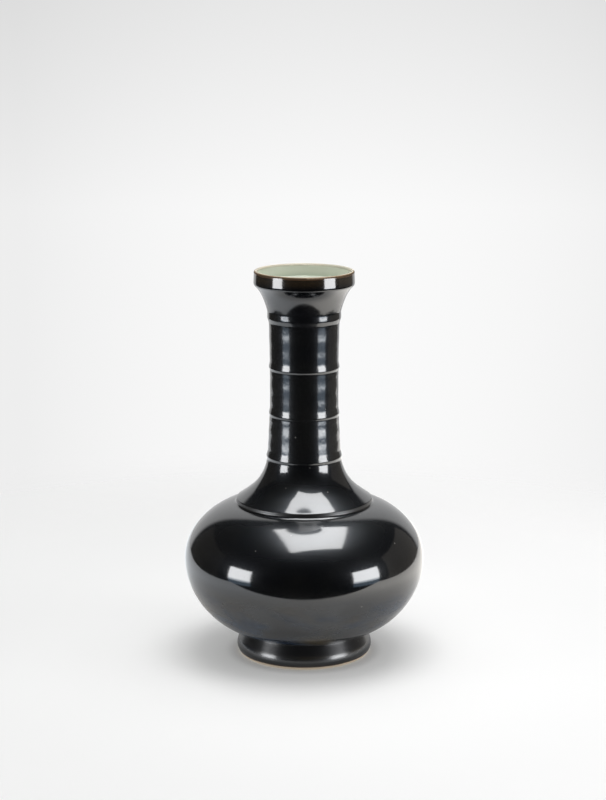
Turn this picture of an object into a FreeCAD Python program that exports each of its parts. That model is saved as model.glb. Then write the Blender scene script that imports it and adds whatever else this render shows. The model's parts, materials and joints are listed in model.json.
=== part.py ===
import FreeCAD, Part
import math
import os
from collections import namedtuple
import Sketcher

# A bottle vase in glazed porcelain, in millimetres.
# +Z is up. The origin is the centre of the foot's resting face.
# The clay was thrown in sections, joined with thin seams of slip, and then coated with glaze.
# Radii and heights of the outside are those of the finished, glazed surface.

# Driving sizes
SIZES = {
    # Coats and seams
    "coat": 0.5,
    "seam": 0.8,
    # Neck, with its four raised strings numbered from below
    "neck_radius": 35.06,
    "neck_wall": 4.1,
    "string_skirt": 2.4,
    "string_4_skirt": 4.9,
    "string_slope": 5.6,
    "string_1_relief": 0.62,
    "string_2_relief": 0.57,
    "string_3_relief": 1.03,
    "string_4_relief": 1.59,
    "low_bay_rise": 36.8,
    "low_bay_spread": 2.33,
    "low_bay_top_spread": 0.45,
    "middle_bay_rise": 39.6,
    "high_bay_rise": 40.4,
    "high_bay_spread": 0.9,
    # Collar, the spreading foot of the neck
    "collar_spread": 34.7,
    "collar_top_spread": 3.2,
    "collar_step_rise": 5.35,
    "cove_rise": 3.3,
    "cove_sweep": 3.7,
    "collar_turn_spread": 20.7,
    "collar_turn_rise": 10.2,
    "collar_rise": 41.15,
    "collar_sweep": 170.0,
    "collar_bore_sweep": 68.0,
    # Belly
    "shoulder_ledge": 2.44,
    "shoulder_seat": 12.5,
    "shoulder_rise": 29.0,
    "belly_spread": 51.4,
    "belly_round": 53.0,
    "belly_turn_rise": 29.8,
    "widest_rise": 6.9,
    "lower_belly_rise": 68.3,
    "belly_wall": 6.0,
    "base_thickness": 9.5,
    "floor_inset": 11.0,
    # Foot ring
    "foot_radius": 69.9,
    "foot_edge_inset": 2.7,
    "foot_edge_bevel": 0.8,
    "glaze_line_inset": 1.4,
    "glaze_line_height": 3.2,
    "foot_swell_rise": 3.8,
    "foot_wall_rise": 6.8,
    "foot_wall_round": 22.0,
    "foot_shoulder_inset": 1.15,
    "foot_shoulder_rise": 11.4,
    "foot_crease_inset": 5.9,
    # Hollow under the foot
    "foot_wall": 12.9,
    "boss_drop": 7.0,
    "recess_lean": 4.0,
    "recess_glaze_height": 4.0,
    # Mouth
    "flare_spread": 2.39,
    "flare_rise": 26.9,
    "flare_sweep": 92.0,
    "flare_turn_spread": 7.5,
    "flare_turn_rise": 15.25,
    "dish_sweep": 48.0,
    "mouth_spread": 15.81,
    "mouth_ledge": 0.52,
    "mouth_ledge_rise": 2.0,
    "band_taper": 0.5,
    "band_rise": 10.6,
    "lip_round": 1.9,
}

Point = namedtuple("Point", "r z")


class Size:
    """A length that knows its number and its formula on the sheets."""

    def __init__(self, value, text):
        self.value = value
        self.text = text

    def __add__(self, other):
        return Size(self.value + other.value, f"({self.text} + {other.text})")

    def __sub__(self, other):
        return Size(self.value - other.value, f"({self.text} - {other.text})")

    def __mul__(self, other):
        return Size(self.value * other.value, f"({self.text} * {other.text})")

    def __truediv__(self, other):
        return Size(self.value / other.value, f"({self.text} / {other.text})")


TWO = Size(2, "2")
ZERO = Size(0, "0")


def root(square):
    """The square root of a product of two lengths."""
    return Size(math.sqrt(square.value), f"sqrt({square.text})")


# Sheets: one for the driving sizes, one for what is worked out from them
doc = FreeCAD.newDocument("Vase")
sheet = doc.addObject("Spreadsheet::Sheet", "Sizes")
for row, (name, number) in enumerate(SIZES.items(), start=1):
    sheet.set(f"A{row}", name)
    sheet.set(f"B{row}", str(number))
    sheet.setAlias(f"B{row}", name)
worked = doc.addObject("Spreadsheet::Sheet", "Worked")
doc.recompute()


class Driving:
    """The driving sizes by name, as lengths that keep their place on the sheet."""

    def __getattr__(self, name):
        return Size(SIZES[name], f"Sizes.{name}")


kept = []


def keep(name, size):
    """Write a worked-out length on its sheet, and give it back by its name there."""
    kept.append(name)
    cell = f"B{len(kept)}"
    worked.set(f"A{len(kept)}", name)
    worked.set(cell, f"={size.text}")
    worked.setAlias(cell, name)
    return Size(size.value, f"Worked.{name}")


class Round:
    """A circle in the vase's section, kept by its centre and radius."""

    def __init__(self, r, z, radius):
        self.r = r
        self.z = z
        self.radius = radius

    def grown(self, by):
        return Round(self.r, self.z, self.radius + by)

    def shrunk(self, by):
        return Round(self.r, self.z, self.radius - by)

    def reach(self, offset):
        """Half the chord that lies at this distance from the centre."""
        return root(self.radius * self.radius - offset * offset)

    def outer_radius(self, z):
        return self.r + self.reach(z - self.z)

    def inner_radius(self, z):
        return self.r - self.reach(z - self.z)

    def upper_height(self, r):
        return self.z + self.reach(r - self.r)

    def lower_height(self, r):
        return self.z - self.reach(r - self.r)


def keep_round(name, r, z, radius):
    return Round(keep(name + "_centre_radius", r), keep(name + "_centre_height", z), keep(name + "_round", radius))


def following_round(name, first, turn, through):
    """The circle that carries a first one on smoothly from the turn to another point."""
    out = keep(name + "_out", (turn.r - first.r) / first.radius)
    up = keep(name + "_up", (turn.z - first.z) / first.radius)
    across = turn.r - through.r
    down = turn.z - through.z
    radius = keep(name + "_reach", (across * across + down * down) / (TWO * (across * out + down * up)))
    return keep_round(name, turn.r - out * radius, turn.z - up * radius, radius)


def round_through(name, first, last, radius):
    """The circle through two points, with its centre to the right of the way from first to last."""
    out = last.r - first.r
    rise = last.z - first.z
    chord = keep(name + "_chord", root(out * out + rise * rise))
    back = keep(name + "_back", root(radius * radius - chord * chord / (TWO * TWO)))
    middle_r = (first.r + last.r) / TWO
    middle_z = (first.z + last.z) / TWO
    return keep_round(name, middle_r + rise * back / chord, middle_z - out * back / chord, radius)


# Heights of the finished surface, added up from the table
S = Driving()
swell_z = keep("swell_height", S.glaze_line_height + S.foot_swell_rise)
wall_z = keep("foot_wall_height", swell_z + S.foot_wall_rise)
crease_z = keep("crease_height", wall_z + S.foot_shoulder_rise)
waist_z = keep("waist_height", crease_z + S.lower_belly_rise)
widest_z = keep("widest_height", waist_z + S.widest_rise)
turn_z = keep("turn_height", widest_z + S.belly_turn_rise)
shoulder_z = keep("shoulder_height", turn_z + S.shoulder_rise)
edge_z = keep("collar_edge_height", shoulder_z + S.collar_step_rise)
neck_z = keep("neck_height", edge_z + S.collar_rise)
half_seam = keep("half_seam", S.seam / TWO)

# Radii of the finished surface, outwards from the neck and inwards from the foot's swell
collar_radius = keep("collar_radius", S.neck_radius + S.collar_spread)
shoulder_radius = keep("shoulder_radius", collar_radius + S.shoulder_ledge)
belly_radius = keep("belly_radius", shoulder_radius + S.belly_spread)
mouth_radius = keep("mouth_radius", S.neck_radius + S.mouth_spread)
crease_radius = keep("crease_radius", S.foot_radius - S.foot_crease_inset)
foot_shoulder_radius = keep("foot_shoulder_radius", S.foot_radius - S.foot_shoulder_inset)
glaze_line_radius = keep("glaze_line_radius", S.foot_radius - S.glaze_line_inset)
foot_edge_radius = keep("foot_edge_radius", S.foot_radius - S.foot_edge_inset)

# Belly: the finished surface, the clay under the glaze and the clay's inside
up_round = keep_round("up", belly_radius - S.belly_round, widest_z, S.belly_round)
waist = Point(keep("waist_radius", up_round.outer_radius(waist_z)), waist_z)
low_round = following_round("low", up_round, waist, Point(crease_radius, crease_z))
turn = Point(keep("turn_radius", up_round.outer_radius(turn_z)), turn_z)
top_round = following_round("top", up_round, turn, Point(shoulder_radius, shoulder_z))
low_clay = low_round.shrunk(S.coat)
up_clay = up_round.shrunk(S.coat)
top_clay = top_round.shrunk(S.coat)
wall_depth = keep("wall_depth", S.coat + S.belly_wall)
up_inside = up_round.shrunk(wall_depth)
top_inside = top_round.shrunk(wall_depth)


def moved_in(point, depth, curve=up_round):
    """A point of a swelling curve, moved straight towards the curve's centre by a depth."""
    out = (point.r - curve.r) / curve.radius
    up = (point.z - curve.z) / curve.radius
    return Point(point.r - out * depth, point.z - up * depth)


def moved_out(point, depth, curve):
    """A point of a hollow curve, moved straight away from the curve's centre by a depth."""
    out = (point.r - curve.r) / curve.radius
    up = (point.z - curve.z) / curve.radius
    return Point(point.r + out * depth, point.z + up * depth)


waist_clay = moved_in(waist, S.coat)


# Foot and base
swell = Point(S.foot_radius, swell_z)
foot_shoulder = Point(foot_shoulder_radius, wall_z)
foot_wall_round = round_through("foot_wall", foot_shoulder, swell, S.foot_wall_round)
clay_crease_radius = keep("clay_crease_radius", crease_radius - S.coat)
seat_z = keep("seat_height", low_clay.lower_height(clay_crease_radius))
ring_top_z = keep("ring_top_height", seat_z - S.seam)
recess_radius = keep("recess_radius", S.foot_radius - S.foot_wall)
recess_edge_radius = keep("recess_edge_radius", recess_radius + S.recess_lean)
recess_z = keep("recess_height", seat_z - S.boss_drop)
recess_slope = S.recess_lean / (recess_z - S.foot_edge_bevel)
recess_glaze_rise = recess_z - S.recess_glaze_height
recess_glaze_radius = keep("recess_glaze_radius", recess_radius + recess_slope * recess_glaze_rise)
boss_radius = keep("boss_radius", recess_radius - S.seam)
floor_z = keep("floor_height", recess_z + S.base_thickness)
floor_radius = keep("floor_radius", crease_radius - S.floor_inset)
waist_inside = Point(keep("waist_inside_radius", up_inside.outer_radius(waist_z)), waist_z)
low_inside = following_round("low_inside", up_inside, waist_inside, Point(floor_radius, floor_z))

# Where the sections meet
low_top_z = keep("lower_section_top", waist_z - half_seam)
up_bottom_z = keep("upper_section_bottom", waist_z + half_seam)
top_z = keep("upper_section_top", top_clay.upper_height(shoulder_radius))
collar_bottom_z = keep("collar_bottom", top_z + S.seam)
opening_radius = keep("opening_radius", shoulder_radius - S.shoulder_seat)
opening_z = keep("opening_height", top_inside.upper_height(opening_radius))

# Collar
collar_top_radius = keep("collar_top_radius", S.neck_radius + S.collar_top_spread)
bore_radius = keep("bore_radius", S.neck_radius - S.coat - S.neck_wall)
collar_edge = Point(collar_radius, edge_z)
collar_turn_radius = keep("collar_turn_radius", S.neck_radius + S.collar_turn_spread)
collar_turn = Point(collar_turn_radius, keep("collar_turn_height", edge_z + S.collar_turn_rise))
collar_round = round_through("collar", collar_edge, collar_turn, S.collar_sweep)
rising_round = following_round("rising", collar_round, collar_turn, Point(collar_top_radius, neck_z))
cove_high = Point(collar_radius, keep("cove_height", shoulder_z + S.cove_rise))
cove_round = round_through("cove", Point(shoulder_radius, shoulder_z), cove_high, S.cove_sweep)
collar_clay = collar_round.grown(S.coat)
rising_clay = rising_round.grown(S.coat)
turn_clay = moved_out(collar_turn, S.coat, collar_round)
collar_clay_radius = keep("collar_clay_radius", collar_radius - S.coat)
collar_clay_z = keep("collar_clay_height", collar_clay.lower_height(collar_clay_radius))
collar_top_clay = keep("collar_top_clay_radius", rising_clay.inner_radius(neck_z))
collar_bore_low = Point(opening_radius, collar_bottom_z)
collar_bore = round_through("collar_bore", collar_bore_low, Point(bore_radius, neck_z), S.collar_bore_sweep)

# Neck: each string stands out where two bays meet
low_bay_radius = keep("low_bay_radius", S.neck_radius + S.low_bay_spread)
low_bay_top_radius = keep("low_bay_top_radius", S.neck_radius + S.low_bay_top_spread)
high_bay_top_radius = keep("high_bay_top_radius", S.neck_radius + S.high_bay_spread)
flare_radius = keep("flare_radius", S.neck_radius + S.flare_spread)
tube_z = keep("tube_bottom", neck_z + S.seam)
STRINGS = [
    # radius below, skirt, relief, radius above, height of the bay above
    (collar_top_radius, S.string_skirt, S.string_1_relief, low_bay_radius, S.low_bay_rise),
    (low_bay_top_radius, S.string_skirt, S.string_2_relief, S.neck_radius, S.middle_bay_rise),
    (S.neck_radius, S.string_skirt, S.string_3_relief, S.neck_radius, S.high_bay_rise),
    (high_bay_top_radius, S.string_4_skirt, S.string_4_relief, flare_radius, ZERO),
]


def neck_points():
    """The finished neck from its lower seam to its upper one."""
    points = []
    z = tube_z
    for number, (below, skirt, relief, above, bay_rise) in enumerate(STRINGS, start=1):
        crest_z = keep(f"string_{number}_height", z + skirt)
        slope_z = keep(f"string_{number}_top", crest_z + S.string_slope)
        points += [Point(below, z), Point(below + relief, crest_z), Point(above, slope_z)]
        z = keep(f"bay_{number}_top", slope_z + bay_rise)
    return points


NECK = neck_points()
tube_top_z = NECK[-1].z
flare_z = keep("flare_height", tube_top_z + S.seam)

# Mouth
flare_top_z = keep("flare_top_height", flare_z + S.flare_rise)
band_z = keep("band_height", flare_top_z + S.mouth_ledge_rise)
lip_z = keep("lip_height", band_z + S.band_rise)
band_radius = keep("band_radius", mouth_radius + S.band_taper)
ledge_radius = keep("ledge_radius", band_radius - S.mouth_ledge)
flare_low = Point(flare_radius, flare_z)
flare_turn_radius = keep("flare_turn_radius", S.neck_radius + S.flare_turn_spread)
flare_turn = Point(flare_turn_radius, keep("flare_turn_height", flare_z + S.flare_turn_rise))
flare_round = round_through("flare", flare_low, flare_turn, S.flare_sweep)
spread_round = following_round("spread", flare_round, flare_turn, Point(ledge_radius, flare_top_z))
flare_clay = flare_round.grown(S.coat)
spread_clay = spread_round.grown(S.coat)
flare_clay_radius = keep("flare_clay_radius", flare_clay.inner_radius(flare_z))
ledge_clay_radius = keep("ledge_clay_radius", ledge_radius - S.coat)
ledge_clay_z = keep("ledge_clay_height", spread_clay.upper_height(ledge_clay_radius))
lip_radius = keep("lip_centre_radius", mouth_radius - S.lip_round)
lip_outside = Round(lip_radius, lip_z, S.lip_round)
lip_clay = lip_outside.shrunk(S.coat)
dish_radius = keep("dish_radius", lip_radius - S.lip_round + S.coat)
dish_low = Point(bore_radius, flare_z)
dish_round = round_through("dish", dish_low, Point(dish_radius, band_z), S.dish_sweep)


def neck_clay():
    """The neck's clay under the glaze."""
    points = [Point(point.r - S.coat, point.z) for point in NECK]
    points[0] = Point(collar_top_clay, tube_z)
    points[-1] = Point(flare_clay_radius, tube_top_z)
    return points


def glazed_outside():
    """The black coat's outer face, from the line at the foot to the lip."""
    return [
        Point(glaze_line_radius, S.glaze_line_height),
        swell,
        foot_wall_round,
        foot_shoulder,
        Point(crease_radius, crease_z),
        low_round,
        waist,
        up_round,
        turn,
        top_round,
        Point(shoulder_radius, shoulder_z),
        cove_round,
        cove_high,
        collar_edge,
        collar_round,
        collar_turn,
        rising_round,
        Point(collar_top_radius, neck_z),
        *NECK,
        flare_low,
        flare_round,
        flare_turn,
        spread_round,
        Point(ledge_radius, flare_top_z),
        Point(band_radius, band_z),
        Point(mouth_radius, lip_z),
    ]


def clay_outside():
    """The clay's outer face over the same stretch."""
    return [
        Point(glaze_line_radius - S.coat, S.glaze_line_height),
        Point(S.foot_radius - S.coat, swell_z),
        Point(foot_shoulder_radius - S.coat, wall_z),
        Point(clay_crease_radius, ring_top_z),
        Point(clay_crease_radius, seat_z),
        low_clay,
        waist_clay,
        up_clay,
        moved_in(turn, S.coat),
        top_clay,
        Point(shoulder_radius, top_z),
        Point(collar_clay_radius, top_z),
        Point(collar_clay_radius, collar_clay_z),
        collar_clay,
        turn_clay,
        rising_clay,
        Point(collar_top_clay, neck_z),
        *neck_clay(),
        Point(flare_clay_radius, flare_z),
        flare_clay,
        moved_out(flare_turn, S.coat, flare_round),
        spread_clay,
        Point(ledge_clay_radius, ledge_clay_z),
        Point(band_radius - S.coat, band_z),
        Point(mouth_radius - S.coat, lip_z),
    ]


def clay_inside():
    """The clay's inner face, from the lip down to the middle of the floor."""
    return [
        Point(dish_radius, lip_z),
        Point(dish_radius, band_z),
        dish_round,
        Point(bore_radius, flare_z),
        Point(bore_radius, neck_z),
        collar_bore,
        Point(opening_radius, collar_bottom_z),
        Point(opening_radius, opening_z),
        top_inside,
        moved_in(turn, wall_depth),
        up_inside,
        waist_inside,
        low_inside,
        Point(floor_radius, floor_z),
        Point(ZERO, floor_z),
    ]


def glazed_inside():
    """The pale coat's free face, from the lip down to the middle of the floor."""
    dish_high = Point(dish_radius - S.coat, band_z)
    bore_high = Point(bore_radius - S.coat, flare_z)
    bore_low = Point(bore_radius - S.coat, neck_z)
    opening_high = Point(opening_radius - S.coat, collar_bottom_z)
    top = top_inside.shrunk(S.coat)
    side = up_inside.shrunk(S.coat)
    waist_glaze = Point(keep("waist_glaze_radius", side.outer_radius(waist_z)), waist_z)
    floor_edge = Point(floor_radius, floor_z + S.coat)
    return [
        Point(dish_radius - S.coat, lip_z),
        dish_high,
        round_through("dish_glaze", bore_high, dish_high, S.dish_sweep + S.coat),
        bore_high,
        bore_low,
        round_through("collar_glaze", opening_high, bore_low, S.collar_bore_sweep + S.coat),
        opening_high,
        Point(opening_high.r, top.upper_height(opening_high.r)),
        top,
        moved_in(turn, wall_depth + S.coat),
        side,
        waist_glaze,
        following_round("floor_glaze", side, waist_glaze, floor_edge),
        floor_edge,
        Point(ZERO, floor_edge.z),
    ]


def across_lip(round_lip):
    """The rounded lip from its outer side over its crest to its inner side."""
    return [
        Point(lip_radius + round_lip.radius, lip_z),
        round_lip,
        Point(lip_radius, lip_z + round_lip.radius),
        round_lip,
        Point(lip_radius - round_lip.radius, lip_z),
    ]


def vector(point):
    return FreeCAD.Vector(point.r.value, point.z.value, 0)


def edge_between(start, end, bend):
    """A straight edge, or the shorter arc of a circle between two points."""
    first = vector(start)
    last = vector(end)
    if bend is None:
        return Part.LineSegment(first, last)
    centre = FreeCAD.Vector(bend.r.value, bend.z.value, 0)
    spoke = (first + last) / 2 - centre
    middle = centre + spoke.normalize() * bend.radius.value
    return Part.Arc(first, middle, last)


def end_of(sketch, edge, point):
    """Which end of a sketched edge, 1 or 2, lies on a point."""
    ends = {side: (sketch.getPoint(edge, side) - vector(point)).Length for side in (1, 2)}
    return min(ends, key=ends.get)


def draw(sketch, outline):
    """Draw a closed outline of points and circles, and bind each of its sizes to the sheets."""
    steps = []
    for place, item in enumerate(outline):
        if isinstance(item, Point):
            after = outline[(place + 1) % len(outline)]
            bend = after if isinstance(after, Round) else None
            ahead = outline[(place + (2 if bend else 1)) % len(outline)]
            steps.append((item, ahead, bend))
    sketch.addGeometry([edge_between(*step) for step in steps], False)
    rules = []
    bound = []
    for edge, (start, end, bend) in enumerate(steps):
        following = (edge + 1) % len(steps)
        own_end = end_of(sketch, edge, end)
        rules.append(Sketcher.Constraint("Coincident", edge, own_end, following, end_of(sketch, following, end)))
        for kind, axis, size in (("DistanceX", -2, end.r), ("DistanceY", -1, end.z)):
            if size is ZERO:
                rules.append(Sketcher.Constraint("PointOnObject", edge, own_end, axis))
            else:
                bound.append((len(rules), size))
                rules.append(Sketcher.Constraint(kind, -1, 1, edge, own_end, size.value))
        if bend is not None:
            bound.append((len(rules), bend.radius))
            rules.append(Sketcher.Constraint("Radius", edge, bend.radius.value))
    sketch.addConstraint(rules)
    for place, size in bound:
        sketch.setExpression(f"Constraints[{place}]", size.text)


def turned(name, outline):
    """One piece turned about the vase's axis from its outline."""
    body = doc.addObject("PartDesign::Body", name)
    body.Label = name
    plane = next(item for item in body.Origin.OriginFeatures if item.Role == "XZ_Plane")
    sketch = body.newObject("Sketcher::SketchObject", name + "_outline")
    sketch.AttachmentSupport = [(plane, "")]
    sketch.MapMode = "FlatFace"
    doc.recompute()
    draw(sketch, outline)
    revolution = body.newObject("PartDesign::Revolution", name + "_turned")
    revolution.Profile = sketch
    revolution.ReferenceAxis = (sketch, ["V_Axis"])
    revolution.Angle = 360
    body.Tip = revolution
    body.Placement = FreeCAD.Placement()
    return body


def foot_ring():
    """The ring that the vase stands on, bare of glaze at its lower edge."""
    return turned("foot_ring", [
        Point(foot_edge_radius - S.foot_edge_bevel, ZERO),
        Point(foot_edge_radius, S.foot_edge_bevel),
        Point(glaze_line_radius - S.coat, S.glaze_line_height),
        Point(S.foot_radius - S.coat, swell_z),
        Point(foot_shoulder_radius - S.coat, wall_z),
        Point(clay_crease_radius, ring_top_z),
        Point(recess_radius, ring_top_z),
        Point(recess_radius, recess_z),
        Point(recess_glaze_radius, S.recess_glaze_height),
        Point(recess_edge_radius, S.foot_edge_bevel),
        Point(recess_edge_radius + S.foot_edge_bevel, ZERO),
    ])


def foot_seam():
    """Slip around the base's boss and on the seat of the foot ring."""
    return turned("foot_seam", [
        Point(boss_radius, recess_z),
        Point(recess_radius, recess_z),
        Point(recess_radius, ring_top_z),
        Point(clay_crease_radius, ring_top_z),
        Point(clay_crease_radius, seat_z),
        Point(boss_radius, seat_z),
    ])


def lower_body():
    """The bowl-shaped lower half of the belly, with the base."""
    return turned("lower_body", [
        Point(ZERO, recess_z),
        Point(boss_radius, recess_z),
        Point(boss_radius, seat_z),
        Point(clay_crease_radius, seat_z),
        low_clay,
        Point(low_clay.outer_radius(low_top_z), low_top_z),
        Point(low_inside.outer_radius(low_top_z), low_top_z),
        low_inside,
        Point(floor_radius, floor_z),
        Point(ZERO, floor_z),
    ])


def waist_seam():
    """Slip between the two halves of the belly."""
    return turned("waist_seam", [
        Point(low_inside.outer_radius(low_top_z), low_top_z),
        Point(low_clay.outer_radius(low_top_z), low_top_z),
        low_clay,
        waist_clay,
        up_clay,
        Point(up_clay.outer_radius(up_bottom_z), up_bottom_z),
        Point(up_inside.outer_radius(up_bottom_z), up_bottom_z),
        up_inside,
        waist_inside,
        low_inside,
    ])


def upper_body():
    """The domed upper half of the belly, open at the top for the neck."""
    return turned("upper_body", [
        Point(up_clay.outer_radius(up_bottom_z), up_bottom_z),
        up_clay,
        moved_in(turn, S.coat),
        top_clay,
        Point(shoulder_radius, top_z),
        Point(opening_radius, top_z),
        Point(opening_radius, opening_z),
        top_inside,
        moved_in(turn, wall_depth),
        up_inside,
        Point(up_inside.outer_radius(up_bottom_z), up_bottom_z),
    ])


def shoulder_seam():
    """Slip between the shoulder and the collar."""
    return turned("shoulder_seam", [
        Point(opening_radius, top_z),
        Point(collar_clay_radius, top_z),
        Point(collar_clay_radius, collar_bottom_z),
        Point(opening_radius, collar_bottom_z),
    ])


def neck_collar():
    """The spreading foot of the neck, which steps up from the shoulder."""
    return turned("neck_collar", [
        Point(opening_radius, collar_bottom_z),
        Point(collar_clay_radius, collar_bottom_z),
        Point(collar_clay_radius, collar_clay_z),
        collar_clay,
        turn_clay,
        rising_clay,
        Point(collar_top_clay, neck_z),
        Point(bore_radius, neck_z),
        collar_bore,
    ])


def neck_seam():
    """Slip between the collar and the neck."""
    return turned("neck_seam", [
        Point(bore_radius, neck_z),
        Point(collar_top_clay, neck_z),
        Point(collar_top_clay, tube_z),
        Point(bore_radius, tube_z),
    ])


def neck_tube():
    """The neck with its raised strings."""
    return turned("neck_tube", [
        Point(bore_radius, tube_z),
        *neck_clay(),
        Point(bore_radius, tube_top_z),
    ])


def mouth_seam():
    """Slip between the neck and the mouth."""
    return turned("mouth_seam", [
        Point(bore_radius, tube_top_z),
        Point(flare_clay_radius, tube_top_z),
        Point(flare_clay_radius, flare_z),
        Point(bore_radius, flare_z),
    ])


def mouth_dish():
    """The flared mouth with its upright band and rounded lip."""
    return turned("mouth_dish", [
        Point(bore_radius, flare_z),
        Point(flare_clay_radius, flare_z),
        flare_clay,
        moved_out(flare_turn, S.coat, flare_round),
        spread_clay,
        Point(ledge_clay_radius, ledge_clay_z),
        Point(band_radius - S.coat, band_z),
        *across_lip(lip_clay),
        Point(dish_radius, band_z),
        dish_round,
    ])


def outer_glaze():
    """The black coat over the whole outside."""
    return turned("outer_glaze", glazed_outside() + clay_outside()[::-1])


def inner_glaze():
    """The pale coat over the lip and the whole inside."""
    covered = across_lip(lip_clay) + clay_inside()[1:]
    free = across_lip(lip_outside) + glazed_inside()[1:]
    return turned("inner_glaze", free + covered[::-1])


def base_glaze():
    """The pale coat in the hollow under the foot."""
    return turned("base_glaze", [
        Point(ZERO, recess_z - S.coat),
        Point(recess_radius - S.coat, recess_z - S.coat),
        Point(recess_glaze_radius - S.coat, S.recess_glaze_height),
        Point(recess_glaze_radius, S.recess_glaze_height),
        Point(recess_radius, recess_z),
        Point(ZERO, recess_z),
    ])


PIECES = [
    foot_ring(),
    foot_seam(),
    lower_body(),
    waist_seam(),
    upper_body(),
    shoulder_seam(),
    neck_collar(),
    neck_seam(),
    neck_tube(),
    mouth_seam(),
    mouth_dish(),
    outer_glaze(),
    inner_glaze(),
    base_glaze(),
]
doc.recompute()

# Nothing is written unless every object and every piece is sound
for thing in doc.Objects:
    if "Invalid" in thing.State or "Error" in thing.State:
        raise ValueError(f"{thing.Name} did not compute: {thing.State}")
for piece in PIECES:
    if piece.Shape.isNull() or not piece.Shape.isValid() or len(piece.Shape.Solids) != 1:
        raise ValueError(f"{piece.Label} is not one sound solid")

os.makedirs("parts", exist_ok=True)
for piece in PIECES:
    piece.Shape.exportStep(f"parts/{piece.Label}.step")
    box = piece.Shape.optimalBoundingBox(False, False)
    print(f"{piece.Label}: {piece.Shape.Volume:.0f} mm3, {box.ZMin:.2f} to {box.ZMax:.2f} mm high")
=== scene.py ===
# %% [markdown]
# # A mirror-black bottle vase
# The vase is a turned form under a black mirror, so almost everything the eye reads on it is a reflection: a
# white sheet below, a pool of light behind, two tall window boxes, a panel overhead and a dark room. The
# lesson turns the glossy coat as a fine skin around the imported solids, gives every piece its own finish, and
# then sets the studio that the coat mirrors. The solids come with the frame, each in its real place, so no
# piece is fitted by eye.

# %% Load the frame
import itertools
import json
import math

import bpy
import numpy as np
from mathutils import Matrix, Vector


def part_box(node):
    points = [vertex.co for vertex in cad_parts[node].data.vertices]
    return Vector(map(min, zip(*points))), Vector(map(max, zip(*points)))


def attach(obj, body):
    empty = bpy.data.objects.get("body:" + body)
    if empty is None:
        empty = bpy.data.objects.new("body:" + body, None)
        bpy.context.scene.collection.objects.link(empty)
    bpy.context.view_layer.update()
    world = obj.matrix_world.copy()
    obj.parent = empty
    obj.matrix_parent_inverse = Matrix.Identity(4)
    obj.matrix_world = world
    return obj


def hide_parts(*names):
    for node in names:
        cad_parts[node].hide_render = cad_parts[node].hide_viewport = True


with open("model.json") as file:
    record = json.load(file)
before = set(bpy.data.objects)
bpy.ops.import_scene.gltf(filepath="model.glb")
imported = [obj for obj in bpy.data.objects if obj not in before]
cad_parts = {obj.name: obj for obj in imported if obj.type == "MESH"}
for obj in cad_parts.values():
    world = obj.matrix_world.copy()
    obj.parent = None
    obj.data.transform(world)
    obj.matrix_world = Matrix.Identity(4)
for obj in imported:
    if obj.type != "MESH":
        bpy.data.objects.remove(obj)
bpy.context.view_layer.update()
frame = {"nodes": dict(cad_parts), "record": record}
MM = 0.001
nodes = frame["nodes"]

# %% [markdown]
# ## The coat's outline, read from its solid
# On the real vase the black coat is a glassy skin half a millimetre thick. A mirror shows every facet, so the
# solid's own mesh can't carry it, and a smoothing modifier would melt the strings and the band away. Instead
# the coat is turned again from an outline with true curves. The corner points of the solid's mesh lie exactly
# on the designed outline, and only the flat faces between them don't. So the first step reads those points as
# rings.

# %% Read rings from a turned solid
LEAST_LEAN = 0.05
HEIGHT_DIGITS = 6
RING_GAP = 0.05 * MM


def height_of(ring):
    return ring[1]


def rings(node, side):
    """Radius and height of each ring on the outer (+1) or the covered (-1) face of a turned coat."""
    mesh = nodes[node].data
    found = set()
    for face in mesh.polygons:
        centre = face.center
        reach = math.hypot(centre.x, centre.y)
        outward = (face.normal.x * centre.x + face.normal.y * centre.y) / max(reach, MM)
        if outward * side > LEAST_LEAN:
            for corner in face.vertices:
                spot = mesh.vertices[corner].co
                found.add((math.hypot(spot.x, spot.y), round(spot.z, HEIGHT_DIGITS)))
    ordered = sorted(found, key=height_of)
    kept = ordered[:1]
    for _, level in itertools.groupby(ordered, key=height_of):
        for ring in sorted(level, key=lambda ring: abs(ring[0] - kept[-1][0])):
            if math.dist(ring, kept[-1]) > RING_GAP:
                kept.append(ring)
    return np.array(kept)


coat_rings = rings("outer_glaze", 1)
clay_rings = rings("outer_glaze", -1)
print("outer face:", len(coat_rings), "rings; covered face:", len(clay_rings), "rings")

# %% [markdown]
# ## Arcs between the rings
# A thrown outline is a chain of arcs that run into each other. A spline through all the rings would be
# shorter to write, but it swings out past each corner. So rings that lie on one circle are joined by that
# circle's arc, and the others by straight lines.

# %% Find the arcs
IN_LINE = 1e-9
WIDEST_ARC = 1.0
OFF_ARC = 0.006 * MM
ARC_RINGS = 4


def circle_through(a, b, c):
    """Centre and radius of the circle through three points, or None when they are in line."""
    ab, ac = b - a, c - a
    cross = 2 * (ab[0] * ac[1] - ab[1] * ac[0])
    if abs(cross) < IN_LINE:
        return None
    x = (ac[1] * (ab @ ab) - ab[1] * (ac @ ac)) / cross
    y = (ab[0] * (ac @ ac) - ac[0] * (ab @ ab)) / cross
    return a + (x, y), math.hypot(x, y)


def on_circle(points):
    """The circle that all the points lie on, or None."""
    circle = circle_through(points[0], points[len(points) // 2], points[-1])
    if circle is None or circle[1] > WIDEST_ARC:
        return None
    off = np.abs(np.hypot(*(points - circle[0]).T) - circle[1]).max()
    return circle if off < OFF_ARC else None


def arcs_of(points):
    """Longest runs of points that share a circle, each as first point, last point and circle."""
    runs = []
    first = 0
    while first <= len(points) - ARC_RINGS:
        last = first + ARC_RINGS - 1
        found = None
        while last < len(points) and (circle := on_circle(points[first:last + 1])):
            found = (first, last, circle)
            last += 1
        if found:
            runs.append(found)
        first = found[1] if found else first + 1
    return runs


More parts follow.
